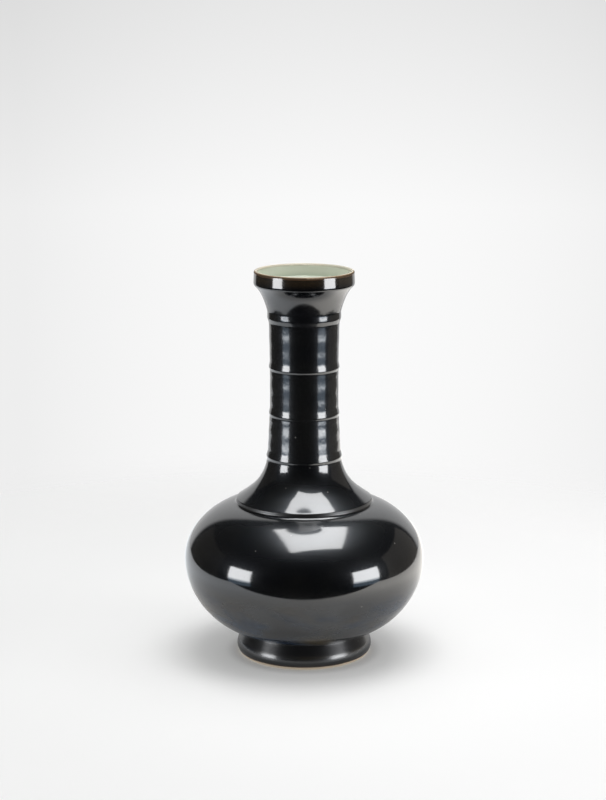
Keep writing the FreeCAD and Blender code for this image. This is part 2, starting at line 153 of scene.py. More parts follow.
coat_arcs = arcs_of(coat_rings)
for first, last, (centre, radius) in coat_arcs:
    low, high = coat_rings[first][1] / MM, coat_rings[last][1] / MM
    print(f"arc from z {low:.1f} to {high:.1f} mm, radius {radius / MM:.1f} mm")

# %% [markdown]
# ## Softened corners
# Glaze is a thick liquid when it melts, so it rounds each corner over about a millimetre. A bevel would need
# a width for each edge. Here the outline is walked in even small steps and averaged over one width, which
# rounds sharp corners and leaves calm curves alone.

# %% Walk the outline and average it
STEP = 0.2 * MM
SOFTENING = 0.7 * MM
BELL_REACH = 3


def walk(points, arcs):
    """Points at even small steps along straight lines and arcs."""
    bends = {place: circle for first, last, circle in arcs for place in range(first, last)}
    out = []
    for place, (a, b) in enumerate(zip(points[:-1], points[1:])):
        count = max(1, round(np.hypot(*(b - a)) / STEP))
        share = np.arange(count)[:, None] / count
        line = a + (b - a) * share
        if place in bends:
            centre, radius = bends[place]
            spokes = line - centre
            line = centre + spokes * (radius / np.hypot(*spokes.T))[:, None]
        out.append(line)
    return np.vstack([*out, points[-1:]])


def averaged(points, width):
    """A moving average with a bell-shaped weight; the two ends stay where they are."""
    reach = round(BELL_REACH * width / STEP)
    weight = np.exp(-0.5 * (np.arange(-reach, reach + 1) * STEP / width) ** 2)
    weight /= weight.sum()
    before = 2 * points[0] - points[reach:0:-1]
    after = 2 * points[-1] - points[-2:-reach - 2:-1]
    padded = np.vstack([before, points, after])
    return np.stack([np.convolve(column, weight, "valid") for column in padded.T], axis=1)


fine = averaged(walk(coat_rings, coat_arcs), SOFTENING)
print(len(fine), "steps of", round(STEP / MM, 2), "mm")

# %% [markdown]
# ## Throwing rings
# Throwing leaves shallow waves in each bay between the neck's strings. They are too shallow to see as a
# shape, but they break the long reflections of the window boxes into patches. Noise on a bump would break
# them up without order, so the waves go into the outline, where they run level around the neck as on the real
# vase.

# %% Throwing rings on the neck
NECK_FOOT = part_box("neck_tube")[0].z
NECK_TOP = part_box("neck_tube")[1].z
RING_TILT = math.radians(1.6)
STRING_REACH = 6 * MM
PERIOD_SHARE = 0.46
CREST_SHARE = 0.13
FADE_SHARE = 0.08

neck = [i for i in range(1, len(fine) - 1) if NECK_FOOT < fine[i][1] < NECK_TOP]
strings = [fine[i][1] for i in neck if fine[i][0] > fine[i - 1][0] and fine[i][0] >= fine[i + 1][0]]
print("strings at", [round(z / MM, 1) for z in strings], "mm")
for low, high in zip(strings[:-1], strings[1:]):
    start, end = low + STRING_REACH, high - STRING_REACH
    inside = (fine[:, 1] > start) & (fine[:, 1] < end)
    along = (fine[inside, 1] - start) / (end - start)
    period = (end - start) * PERIOD_SHARE
    depth = math.tan(RING_TILT) * period / (2 * math.pi)
    fade = np.clip(np.minimum(along, 1 - along) / FADE_SHARE, 0, 1)
    wave = np.cos(2 * math.pi * (along - CREST_SHARE) / PERIOD_SHARE)
    fine[inside, 0] -= depth * fade * (1 - wave)
    print(f"bay from {start / MM:.0f} to {end / MM:.0f} mm: waves {period / MM:.1f} mm long, "
          f"{2 * depth / MM:.2f} mm deep")

# %% [markdown]
# ## Fewer rings where the outline is calm
# Steps this small would make a heavy mesh. A Decimate modifier could thin it, but it would break the level
# rings that keep a mirror calm. So a step is kept only when the outline has turned, or run on, far enough.

# %% Thin out the rings
LEAST_TURN = math.radians(1.0)
LONGEST_GAP = 2.5 * MM


def thinned(points):
    """Keep a point wherever the outline has turned or run on far enough since the last one kept."""
    steps = np.diff(points, axis=0)
    heading = np.unwrap(np.arctan2(steps[:, 1], steps[:, 0]))
    kept = [0]
    for i in range(1, len(points) - 1):
        far = np.hypot(*(points[i] - points[kept[-1]])) > LONGEST_GAP
        if far or abs(heading[i] - heading[kept[-1]]) > LEAST_TURN:
            kept.append(i)
    return points[[*kept, len(points) - 1]]


coat_outline = thinned(fine)
print(len(coat_outline), "rings kept")

# %% [markdown]
# ## The coat as a closed skin
# The outline is turned about the vase's axis and closed over the clay, so it is a real coat with a real
# thickness. A Screw modifier could turn it too, but here the lower edge has to waver, because the foot was
# wiped by hand before firing. Plain mesh code moves those lowest rings up and down as it makes them.

# %% Turn the coat
AROUND = 288
EDGE_WAVER = 0.45 * MM
EDGE_REACH = 3 * MM
LOBES = (2, 5, 9, 14, 23)
WAVER_SHARE = 1 / 3


def turned_skin(name, outer, covered):
    """A closed coat from the outer outline (upwards) and the covered one (downwards)."""
    outline = np.vstack([outer, covered[::-1]])
    angles = 2 * math.pi * np.arange(AROUND) / AROUND
    waver = sum(np.sin(count * angles + count) / (count ** 0.5) for count in LOBES) * WAVER_SHARE
    edge_z = outline[:, 1].min()
    grip = np.clip(1 - (outline[:, 1] - edge_z) / EDGE_REACH, 0, 1) ** 2
    heights = outline[:, 1][:, None] + EDGE_WAVER * grip[:, None] * waver[None, :]
    radii = np.repeat(outline[:, 0][:, None], AROUND, axis=1)
    spots = np.stack([radii * np.cos(angles), radii * np.sin(angles), heights], axis=2).reshape(-1, 3)
    count = len(outline)
    faces = []
    for ring in range(count):
        here, above = ring * AROUND, (ring + 1) % count * AROUND
        for turn in range(AROUND):
            beside = (turn + 1) % AROUND
            faces.append((here + turn, here + beside, above + beside, above + turn))
    mesh = bpy.data.meshes.new(name)
    mesh.from_pydata(spots.tolist(), [], faces)
    mesh.polygons.foreach_set("use_smooth", [True] * len(faces))
    sharp_rings = {0, len(outer) - 1, len(outer), count - 1}
    for edge in mesh.edges:
        a, b = edge.vertices
        if a // AROUND == b // AROUND and a // AROUND in sharp_rings:
            edge.use_edge_sharp = True
    mesh.update()
    piece = bpy.data.objects.new(name, mesh)
    bpy.context.scene.collection.objects.link(piece)
    return piece


coat = turned_skin("glossy_coat", coat_outline, clay_rings)
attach(coat, "root")
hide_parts("outer_glaze")
print(coat.name, "has", len(coat.data.polygons), "faces")

# %% [markdown]
# ## Writing shaders as sums
# A finish is easier to read as arithmetic than as a net of boxes. A Signal stands for one value inside a
# shader, and adding or multiplying Signals adds the matching Math node. A group of nodes would do the same
# work, but it hides the sums.


# %% Signals
class Signal:
    """A number or colour that a shader works out; the usual signs join it to others."""

    def __init__(self, finish, socket):
        self.finish = finish
        self.socket = socket

    def joined(self, operation, first, second):
        return self.finish.add("Math", {"operation": operation}, {0: first, 1: second})

    def __add__(self, other):
        return self.joined("ADD", self, other)

    def __radd__(self, other):
        return self.joined("ADD", other, self)

    def __sub__(self, other):
        return self.joined("SUBTRACT", self, other)

    def __rsub__(self, other):
        return self.joined("SUBTRACT", other, self)

    def __mul__(self, other):
        return self.joined("MULTIPLY", self, other)

    def __rmul__(self, other):
        return self.joined("MULTIPLY", other, self)


print("a Signal adds, takes away and multiplies")

# %% [markdown]
# ## Finishes
# A Finish holds the node tree of one material. Every node comes from its method add. The other methods name
# what this vase's finishes need again and again: a place, a height, a cloud of noise, a soft step between two
# heights and a mix of two colours.

# %% Finishes
CLOUD_MIDDLE = 0.5


class Finish:
    """The node tree of one material or of the world."""

    def __init__(self, tree):
        self.tree = tree
        tree.nodes.clear()

    def add(self, kind, settings=None, values=None, output=0):
        """Add a node, set it, fill or link its inputs, and give one output back."""
        node = self.tree.nodes.new("ShaderNode" + kind)
        for name, value in (settings or {}).items():
            setattr(node, name, value)
        for name, value in (values or {}).items():
            if isinstance(value, Signal):
                self.tree.links.new(value.socket, node.inputs[name])
            else:
                node.inputs[name].default_value = value
        return Signal(self, node.outputs[output]) if node.outputs else None

    def place(self):
        """Where a point of the surface lies, in metres in the vase's own frame."""
        return self.add("TexCoord", output="Object")

    def part_of(self, vector, axis):
        """One of a vector's three numbers."""
        return self.add("SeparateXYZ", {}, {"Vector": vector}, output=axis)

    def length(self, vector):
        return self.add("VectorMath", {"operation": "LENGTH"}, {0: vector}, output="Value")

    def stretched(self, vector, scale):
        """A vector, with each axis stretched."""
        return self.add("VectorMath", {"operation": "MULTIPLY"}, {0: vector, 1: scale})

    def scaled(self, colour, by):
        return self.add("VectorMath", {"operation": "SCALE"}, {0: colour, "Scale": by})

    def grey(self, level):
        return self.add("CombineXYZ", {}, dict.fromkeys("XYZ", level))

    def mixed(self, share, first, second):
        """A colour between two colours; sockets 6 and 7 and output 2 are the Mix node's colours."""
        colours = [value if isinstance(value, Signal) else (*value, 1) for value in (first, second)]
        return self.add("Mix", {"data_type": "RGBA"}, {0: share, 6: colours[0], 7: colours[1]}, output=2)

    def ramp(self, value, low, high, smooth=True):
        """From 0 where the value is low to 1 where it is high; low may be the greater one."""
        easing = "SMOOTHSTEP" if smooth else "LINEAR"
        turned = low > high
        values = {0: value, 1: min(low, high), 2: max(low, high), 3: float(turned), 4: float(not turned)}
        return self.add("MapRange", {"interpolation_type": easing}, values)

    def step(self, height, level, start, end):
        """A soft step between two heights that are counted from a level."""
        return self.ramp(height, level + start, level + end)

    def noise(self, where, scale, detail=3.0, roughness=0.55):
        values = {"Vector": where, "Scale": scale, "Detail": detail, "Roughness": roughness}
        return self.add("TexNoise", {}, values)

    def wandering(self, value, cloud, by):
        """A value that a cloud of noise pushes to and fro."""
        return value + (cloud - CLOUD_MIDDLE) * by

    def shown(self, shader):
        self.add("OutputMaterial", {}, {"Surface": shader})


def material(name):
    made = bpy.data.materials.new(name)
    made.use_nodes = True
    return made, Finish(made.node_tree)


print("a Finish adds nodes by name")

# %% [markdown]
# ## Black glaze: its colour
# The glaze is an iron-rich glass with nearly no colour of its own. Where it runs thin at the lip it turns
# olive and then brown, and a rusty line closes it above the bare foot. A painted picture could show this, but
# heights and noise stay sharp from near and go all the way round.

# %% Heights that the finish follows
LIP_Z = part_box("outer_glaze")[1].z
LINE_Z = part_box("outer_glaze")[0].z
FOOT_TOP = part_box("foot_ring")[1].z
WAIST_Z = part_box("lower_body")[1].z
COLLAR_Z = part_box("neck_collar")[0].z
print("heights in mm:", [round(z / MM, 1) for z in (LINE_Z, FOOT_TOP, WAIST_Z, COLLAR_Z, LIP_Z)])

# %% Colour of the black glaze
DRIFT_PER_M = 14.0
CLOUDS_PER_M = 13.0
CLOUD_STRETCH = (1.0, 1.0, 1.6)
CLOUD_SPAN = (0.38, 0.66)
BAND_WANDER = 4 * MM
EDGE_WANDER = 1 * MM
BAND_THINS = (-11 * MM, -3.3 * MM)
LIP_BARES = (-1.3 * MM, 0.2 * MM)
FOOT_THINS = (1.5 * MM, 0.3 * MM)
COOL_BLACK = (0.0008, 0.0010, 0.0016)
WARM_BLACK = (0.0034, 0.0032, 0.0024)
OLIVE = (0.020, 0.0135, 0.007)
BROWN = (0.15, 0.085, 0.045)
RUST = (0.05, 0.026, 0.012)

black, f = material("black_glaze_finish")
place = f.place()
height = f.part_of(place, "Z")
drift = f.noise(place, DRIFT_PER_M)
clouds = f.noise(f.stretched(place, CLOUD_STRETCH), CLOUDS_PER_M)
body = f.mixed(f.ramp(clouds, *CLOUD_SPAN), COOL_BLACK, WARM_BLACK)
band = f.wandering(height, drift, BAND_WANDER)
edge = f.wandering(height, drift, EDGE_WANDER)
banded = f.mixed(f.step(band, LIP_Z, *BAND_THINS), body, OLIVE)
lipped = f.mixed(f.step(edge, LIP_Z, *LIP_BARES), banded, BROWN)
footed = f.mixed(f.step(edge, LINE_Z, *FOOT_THINS), lipped, RUST)
print("olive band", -BAND_THINS[0] / MM, "mm deep under the lip")

# %% [markdown]
# ## Black glaze: its mirror
# The glaze reflects more than window glass does, so its index is set higher. Specks, slow waves from melting
# and duller places keep it from looking like plastic: the neck and the foot are less polished, and the step
# under the collar holds a matt line. Separate materials would show a seam between them, so masks by height
# say where each begins and ends, and one bump carries the waves.

# %% Specks
SPECKS_PER_M = 190.0
SPECK_RADIUS = (0.16, 0.08)
CHOSEN = (0.976, 0.984)
SPECK_COVER = 0.5
SPECK_COLOUR = (0.5, 0.48, 0.44)

cell = {"Vector": place, "Scale": SPECKS_PER_M}
from_middle = f.add("TexVoronoi", {"feature": "F1"}, cell, output="Distance")
middle = f.add("TexVoronoi", {"feature": "F1"}, cell, output="Position")
chance = f.add("TexWhiteNoise", {"noise_dimensions": "3D"}, {"Vector": middle})
speck = f.ramp(from_middle, *SPECK_RADIUS) * f.ramp(chance, *CHOSEN)
specked = f.mixed(speck * SPECK_COVER, footed, SPECK_COLOUR)
print("about one cell in", round(1 / (1 - sum(CHOSEN) / 2)), "holds a speck")

# %% Mirror with duller places
NECK_BEGINS = (-20 * MM, 5 * MM)
NECK_ENDS = (10 * MM, 0)
FOOT_ENDS = (4 * MM, 0)
STEP_BEGINS = (1 * MM, 2.5 * MM)
STEP_ENDS = (5.6 * MM, 4.9 * MM)
WAVES, WAVES_PER_M = 0.16, 55.0
NECK_WAVES, NECK_WAVES_PER_M = 2.2, 105.0
WAVE_DETAIL = 2.0
WAVE_RISE = 0.09 * MM
POLISH = 0.085
DRIFT_SPAN = (0.45, 0.75)
DRIFT_DULLS, NECK_DULLS, FOOT_DULLS, STEP_DULLS, SPECK_DULLS = 0.05, 0.035, 0.12, 0.3, 0.25
MIRROR_INDEX = 1.75

on_neck = f.step(height, NECK_FOOT, *NECK_BEGINS) * f.step(height, NECK_TOP, *NECK_ENDS)
on_foot = f.step(height, FOOT_TOP, *FOOT_ENDS)
in_step = f.step(height, COLLAR_Z, *STEP_BEGINS) * f.step(height, COLLAR_Z, *STEP_ENDS)
waves = WAVES * f.noise(place, WAVES_PER_M, detail=WAVE_DETAIL)
neck_waves = NECK_WAVES * on_neck * f.noise(place, NECK_WAVES_PER_M, detail=WAVE_DETAIL)
relief = f.add("Bump", {}, {"Strength": 1.0, "Distance": WAVE_RISE, "Height": waves + neck_waves})
dulled = POLISH + DRIFT_DULLS * f.ramp(drift, *DRIFT_SPAN) + NECK_DULLS * on_neck + FOOT_DULLS * on_foot
roughness = dulled + STEP_DULLS * in_step + SPECK_DULLS * speck
gloss = f.add("BsdfPrincipled", {}, {
    "Base Color": specked, "Roughness": roughness, "IOR": MIRROR_INDEX, "Normal": relief})
print("mirror of index", MIRROR_INDEX, "and roughness", POLISH, "where it is cleanest")

# %% [markdown]
# ## Black glaze: bloom, handling marks and painted shade
# Strong lights on the real vase have a soft halo, from fine dust on what faces up. Below its waist, handling
# has left a cloudy, oily skin. On the foot's upper wall a dark matt layer is painted shade, which dims the
# window boxes that this wall would mirror. Both lie over the mirror. One shader could only be made duller, so
# they are shaders of their own, and masks share out how much of each shows.

# %% Bloom over the mirror
HAZE_COLOUR = (0.37, 0.40, 0.44, 1)
HAZE_ROUGHNESS = 0.36
DUSTY_LEAN = (0.15, 0.8)
HANDLED_BELOW = (0, -25 * MM)
BLOOM_SPAN = (0.4, 0.62)
LEAST_BLOOM, CLOUD_BLOOM, HANDLED_BLOOM = 0.008, 0.01, 0.05
DUST_BLOOM, NECK_BLOOM, FOOT_BLOOM = 0.07, 0.02, 0.03

haze = f.add("BsdfGlossy", {}, {"Color": HAZE_COLOUR, "Roughness": HAZE_ROUGHNESS})
dust = f.ramp(f.part_of(f.add("TexCoord", output="Normal"), "Z"), *DUSTY_LEAN)
handled = f.step(height, WAIST_Z, *HANDLED_BELOW) * (1 - on_foot)
cloudy = (CLOUD_BLOOM + HANDLED_BLOOM * handled) * f.ramp(clouds, *BLOOM_SPAN)
dusty = DUST_BLOOM * dust * (1 - on_foot)
bloom = LEAST_BLOOM + cloudy + dusty + NECK_BLOOM * on_neck + FOOT_BLOOM * on_foot
clear = f.add("MixShader", {}, {0: bloom, 1: gloss, 2: haze})
print("haze covers at most", round(LEAST_BLOOM + CLOUD_BLOOM + HANDLED_BLOOM + DUST_BLOOM, 2), "of the belly")

# %% Handling marks and painted shade on the foot
FLOW_STRETCH = (1.0, 1.0, 2.2)
HUES_PER_M = 9.0
HUE_SPAN = (0.4, 0.6)
OILY_BLUE = (0.025, 0.045, 0.08)
OILY_BROWN = (0.085, 0.068, 0.04)
# Painted shade: the dark colour of the matt layer on the foot's upper wall.
PAINTED_FOOT_SHADE = (0.013, 0.013, 0.014)
PAINTED_SHADE_ABOVE = (7 * MM, 13 * MM)
MARKS_PER_M = 20.0
MARK_SPAN = (0.38, 0.62)
MARK_COVER = 0.42
PAINTED_SHADE_COVER = 0.72
SKIN_ROUGHNESS = 0.3
SKIN_INDEX = 1.3

flow = f.stretched(place, FLOW_STRETCH)
oily = f.mixed(f.ramp(f.noise(flow, HUES_PER_M), *HUE_SPAN), OILY_BLUE, OILY_BROWN)
# The painted shade lies on the foot, rising from 7 to 13 mm over the glaze line.
painted_shade_on_foot = on_foot * f.step(height, LINE_Z, *PAINTED_SHADE_ABOVE)
oily_skin_and_painted_shade = f.add("BsdfPrincipled", {}, {
    "Base Color": f.mixed(painted_shade_on_foot, oily, PAINTED_FOOT_SHADE), "Roughness": SKIN_ROUGHNESS, "IOR": SKIN_INDEX})
# One mask shares out the oily marks below the waist and the painted shade on the foot.
marks_and_painted_shade = MARK_COVER * handled * f.ramp(f.noise(flow, MARKS_PER_M), *MARK_SPAN) + PAINTED_SHADE_COVER * painted_shade_on_foot
f.shown(f.add("MixShader", {}, {0: marks_and_painted_shade, 1: clear, 2: oily_skin_and_painted_shade}))
coat.data.materials.append(black)
print(black.name, "has", len(black.node_tree.nodes), "nodes")

# %% [markdown]
# ## Pale glaze
# The pale glaze of the inside is a thin celadon over white clay: grey-green where it pools in the dish, cream
# where it is stretched over the lip, and brown where it meets the black. A separate ring for each would end
# in a hard line, so the colours are mixed by height and by the distance from the axis.

# %% Pale glaze
LIP_RADIUS = fine[-1][0] - (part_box("inner_glaze")[1].z - LIP_Z)
PALE_CLOUDS_PER_M = 22.0
LIP_WANDER = 1.5 * MM
MEETING_WANDER = 0.8 * MM
ON_LIP = (-1.2 * MM, 0.3 * MM)
PAST_LIP = (0.2 * MM, 1.2 * MM)
DOWN_LIP = (1.1 * MM, 1.9 * MM)
POOLS_BELOW = (-5 * MM, -12 * MM)
DISH = (0.72, 0.75, 0.63), (0.79, 0.81, 0.71)
POOLED = (0.60, 0.65, 0.54)
LIP_CREAM = (0.58, 0.53, 0.42), (0.55, 0.53, 0.43)
CREAM_SPAN = (0.35, 0.65)
LIP_BROWN = (0.24, 0.155, 0.08), (0.045, 0.026, 0.012)
PALE_ROUGHNESS, CLOUD_ROUGHNESS, LIP_ROUGHNESS = 0.28, 0.1, 0.15
PALE_INDEX = 1.33
FLATTENED = (1.0, 1.0, 0.0)

pale, f = material("pale_glaze_finish")
place = f.place()
height = f.part_of(place, "Z")
cloud = f.noise(place, PALE_CLOUDS_PER_M)
on_lip = f.step(f.wandering(height, cloud, LIP_WANDER), LIP_Z, *ON_LIP)
reach = f.wandering(f.length(f.stretched(place, FLATTENED)), cloud, MEETING_WANDER)
dish = f.mixed(f.step(height, LIP_Z, *POOLS_BELOW), f.mixed(cloud, *DISH), POOLED)
cream = f.mixed(f.ramp(cloud, *CREAM_SPAN), *LIP_CREAM)
meeting = f.mixed(f.step(reach, LIP_RADIUS, *DOWN_LIP), *LIP_BROWN)
colour = f.mixed(f.step(reach, LIP_RADIUS, *PAST_LIP), f.mixed(on_lip, dish, cream), meeting)
roughness = PALE_ROUGHNESS + CLOUD_ROUGHNESS * cloud + LIP_ROUGHNESS * on_lip
f.shown(f.add("BsdfPrincipled", {}, {"Base Color": colour, "Roughness": roughness, "IOR": PALE_INDEX}))
print(pale.name, "browns from", round(LIP_RADIUS / MM, 1), "mm off the axis")

# %% [markdown]
# ## Clay and slip
# The clay shows only as a tan line around the foot ring: paler towards its lowest edge and toasted where it
# meets the glaze. Slip is the same clay as a paste, a little darker, and the coats hide it in the finished
# vase. A plain colour would look like card, so fine noise gives both their grain.

# %% Bare clay
CLAY_GRAIN_PER_M = 300.0
CLAY_DETAIL = 4.0
TOAST_WANDER = 0.8 * MM
TOASTED = (-1.0 * MM, 0.2 * MM)
# The clay turns paler towards its lowest edge.
PALER_BELOW = (1.2 * MM, 0.2 * MM)
TAN = (0.78, 0.65, 0.49), (0.86, 0.75, 0.60)
PALE_EDGE_CLAY = (0.86, 0.80, 0.70)
TOAST = (0.42, 0.25, 0.12)
GRAIN_STRENGTH = 0.3
GRAIN_RISE = 0.05 * MM
CLAY_ROUGHNESS, GRAIN_ROUGHNESS = 0.75, 0.1
CLAY_INDEX = 1.5

clay, f = material("porcelain_finish")
place = f.place()
height = f.part_of(place, "Z")
grain = f.noise(place, CLAY_GRAIN_PER_M, detail=CLAY_DETAIL)
toasted = f.step(f.wandering(height, grain, TOAST_WANDER), LINE_Z, *TOASTED)
paling_clay = f.mixed(f.ramp(height, *PALER_BELOW), f.mixed(grain, *TAN), PALE_EDGE_CLAY)
relief = f.add("Bump", {}, {"Strength": GRAIN_STRENGTH, "Distance": GRAIN_RISE, "Height": grain})
f.shown(f.add("BsdfPrincipled", {}, {
    "Base Color": f.mixed(toasted, paling_clay, TOAST), "Roughness": CLAY_ROUGHNESS + GRAIN_ROUGHNESS * grain,
    "IOR": CLAY_INDEX, "Normal": relief}))
print(clay.name, "is toasted within", -TOASTED[0] / MM, "mm of the glaze")

# %% Slip
SLIP_GRAIN_PER_M = 260.0
SLIP = (0.70, 0.61, 0.50), (0.80, 0.73, 0.63)
SLIP_ROUGHNESS = 0.8

slip, f = material("slip_finish")
grain = f.noise(f.place(), SLIP_GRAIN_PER_M)
f.shown(f.add("BsdfPrincipled", {}, {
    "Base Color": f.mixed(grain, *SLIP), "Roughness": SLIP_ROUGHNESS + GRAIN_ROUGHNESS * grain,
    "IOR": CLAY_INDEX}))

finishes = {"black_glaze": black, "pale_glaze": pale, "porcelain": clay, "slip": slip}
for part in frame["record"]["subparts"]:
    for slot in nodes[part["node"]].material_slots:
        slot.material = finishes[part["material_slot"]]
print({name: made.name for name, made in finishes.items()})

# %% [markdown]
# ## The white sheet
# The vase stands near the front of a white sheet. The sheet widens backwards and slopes down past a fold at
# its front; beyond it the room is dark. That fold draws the curved line between the black and the grey on the
# belly. Only the glaze sees this sheet. One floor for both the glaze and the camera would be simpler, but its
# edges would then show in the picture.

# %% Staging helpers
def staged(name, mesh):
    made = bpy.data.objects.new(name, mesh)
    bpy.context.scene.collection.objects.link(made)
    return made


def flat(name, corners):
    """A staged sheet with four corners."""
    mesh = bpy.data.meshes.new(name)
    mesh.from_pydata(corners, [], [(0, 1, 2, 3)])
    return staged(name, mesh)


def only_mirrored(made):
    """Let the glaze see a piece of the studio that nothing else does."""
    made.visible_camera = False
    made.visible_diffuse = False
    made.visible_shadow = False


print("staged pieces aren't part of the vase")

# %% Shape of the white sheet
FRONT, FRONT_HALF = -0.258, 0.56
BACK, BACK_HALF = 1.0, 0.92
SLOPE = math.radians(32)
SLOPE_RUN = 0.12
BEND = 0.012
FLAT_ROWS, BEND_ROWS, COLUMNS = 24, 8, 33


def sheet_mesh():
    """A flat sheet that widens backwards, with a rounded fold and a slope at its front."""
    profile = [(y, 0.0) for y in np.linspace(BACK, FRONT + BEND, FLAT_ROWS)]
    for turn in np.linspace(0, SLOPE, BEND_ROWS)[1:]:
        profile.append((FRONT + BEND - BEND * math.sin(turn), -BEND + BEND * math.cos(turn)))
    fold_y, fold_z = profile[-1]
    profile.append((fold_y - SLOPE_RUN * math.cos(SLOPE), fold_z - SLOPE_RUN * math.sin(SLOPE)))
    spots = []
    for y, z in profile:
        half = FRONT_HALF + (BACK_HALF - FRONT_HALF) * (max(y, FRONT) - FRONT) / (BACK - FRONT)
        spots += [(half * side, y, z) for side in np.linspace(-1, 1, COLUMNS)]
    faces = []
    for row in range(len(profile) - 1):
        for near in range(row * COLUMNS, row * COLUMNS + COLUMNS - 1):
            faces.append((near, near + 1, near + 1 + COLUMNS, near + COLUMNS))
    mesh = bpy.data.meshes.new("white_sheet")
    mesh.from_pydata(spots, [], faces)
    mesh.polygons.foreach_set("use_smooth", [True] * len(faces))
    return mesh


sheet = staged("white_sheet", sheet_mesh())
only_mirrored(sheet)
print("white sheet from", FRONT, "to", BACK, "m, slope", round(math.degrees(SLOPE)), "degrees")

# %% [markdown]
# ## White paper
# The room throws light back on the paper, more on the right than on the left, and less where the vase stands
# over it. Lamps enough for that would also light the vase, so the paper gets a little light of its own. It
# changes with the distance from the vase's axis, and far out the paper itself fades, so that no edge shows.
# Close to the foot a painted contact shadow darkens the sheet's colour and dims the floor's own light.

# %% Paper for the sheet
PAPER_ROUGHNESS = 0.9
OWN_RISES = (0.12, 0.40)
OWN_FALLS = (0.45, 1.0)
OWN_FALL = 0.45
SIDE_SPAN = (-0.3, 0.3)
# Painted contact shadow: where the paper's colour and its own light darken close to the foot.
PAINTED_SHADOW_ENDS = (0.075, 0.13)
PAINTED_CONTACT_SHADOW_ENDS = (0.066, 0.085)


def paper(name, white, own, tints, fade, colour_in_painted_shadow=1.0, own_light_in_painted_shadow=1.0):
    """White paper with its own light near and far, left and right tints, and where it fades out.

    Close to the foot, a painted contact shadow leaves only a share of its colour and of its own light;
    the last two arguments give these shares."""
    made, f = material(name)
    place = f.place()
    away = f.length(place)
    farther = f.ramp(away, *OWN_RISES) * (1 - OWN_FALL * f.ramp(away, *OWN_FALLS))
    # The own light is dimmed near the foot as a painted contact shadow.
    shine = (own[0] + (own[1] - own[0]) * farther) * (own_light_in_painted_shadow + (1 - own_light_in_painted_shadow) * f.ramp(away, *PAINTED_CONTACT_SHADOW_ENDS))
    aside = f.ramp(f.part_of(place, "X"), *SIDE_SPAN)
    # The base colour darkens near the foot as a painted contact shadow.
    f.shown(f.add("BsdfPrincipled", {}, {
        "Base Color": f.grey(white * (colour_in_painted_shadow + (1 - colour_in_painted_shadow) * f.ramp(away, *PAINTED_SHADOW_ENDS))),
        "Roughness": PAPER_ROUGHNESS,
        "Specular IOR Level": 0.0,
        "Emission Color": f.scaled(f.mixed(aside, *tints), shine),
        "Emission Strength": 1.0,
        "Alpha": f.ramp(away, *fade)}))
    return made


SHEET_WHITE = 0.86
SHEET_OWN = (0.0, 0.95)
SHEET_TINTS = (0.68, 0.73, 0.79), (1.50, 1.44, 1.34)
SHEET_FADE = (1.7, 1.6)
# Painted contact shadow: the sheet keeps this share of its colour close to the foot.
SHEET_PAINTED_SHADOW = 0.55
sheet.data.materials.append(paper(
    "sheet_paper", SHEET_WHITE, SHEET_OWN, SHEET_TINTS, SHEET_FADE, colour_in_painted_shadow=SHEET_PAINTED_SHADOW))
print(sheet.data.materials[0].name)

# %% [markdown]
# ## The floor that the camera sees
# In the photo the vase stands on a plain pale surface and throws a soft shadow on it. The floor is flat paper
# too, but the glaze doesn't see it, because the sheet is there for that. A curved backdrop could join floor
# and wall, but here the floor simply fades out around the vase, and the pale air of the world takes over.

# %% Floor
FLOOR_FRONT, FLOOR_BACK, FLOOR_HALF = -0.9, 1.4, 1.6
FLOOR_WHITE = 0.76
FLOOR_OWN = (0.23, 0.17)
FLOOR_TINTS = (0.84, 0.85, 0.83), (1.12, 1.12, 1.11)
FLOOR_FADE = (0.9, 0.5)
# Painted contact shadow: the floor keeps this share of its own light close to the foot.
FLOOR_PAINTED_SHADOW = 0.35

floor = flat("floor", [(-FLOOR_HALF, FLOOR_FRONT, 0), (FLOOR_HALF, FLOOR_FRONT, 0),
                       (FLOOR_HALF, FLOOR_BACK, 0), (-FLOOR_HALF, FLOOR_BACK, 0)])
floor.data.materials.append(paper(
    "floor_paper", FLOOR_WHITE, FLOOR_OWN, FLOOR_TINTS, FLOOR_FADE, own_light_in_painted_shadow=FLOOR_PAINTED_SHADOW))
floor.visible_glossy = False
floor.visible_shadow = False
print("floor", 2 * FLOOR_HALF, "m wide")

# %% [markdown]
# ## The pool of light behind
# Behind the vase the backdrop is lit as an oval pool, which the shoulder and the flare mirror. A lamp on a
# real wall would do the same, but its light would also fall on the vase's back. So the pool is a glow that
# only the glaze sees.

# %% Backdrop pool
POOL_HALF = 0.95
POOL_RISE = 1.5
POOL_EDGE = (1.0, 0.65)
POOL_GLOW = 0.9
FULL_WHITE = (1, 1, 1, 1)
FULL_BLACK = (0, 0, 0, 1)


def glow(name, strength, shape=None):
    """A material that only shines; the shape, where given, dims it from place to place."""
    made, f = material(name)
    shine = f.grey(shape(f)) if shape else FULL_WHITE
    f.shown(f.add("BsdfPrincipled", {}, {
        "Base Color": FULL_BLACK, "Specular IOR Level": 0.0,
        "Emission Color": shine, "Emission Strength": strength}))
    return made


def oval(f):
    """1 in the middle of an oval that stands on the sheet, 0 at its edge."""
    place = f.place()
    across = f.part_of(place, "X") * (1 / POOL_HALF)
    up = f.part_of(place, "Z") * (1 / POOL_RISE)
    return f.ramp(across * across + up * up, *POOL_EDGE)


backdrop = flat("backdrop", [(-POOL_HALF, BACK, 0), (POOL_HALF, BACK, 0),
                             (POOL_HALF, BACK, POOL_RISE), (-POOL_HALF, BACK, POOL_RISE)])
backdrop.data.materials.append(glow("backdrop_glow", POOL_GLOW, oval))
only_mirrored(backdrop)
print("backdrop pool", 2 * POOL_HALF, "m wide and", POOL_RISE, "m high")

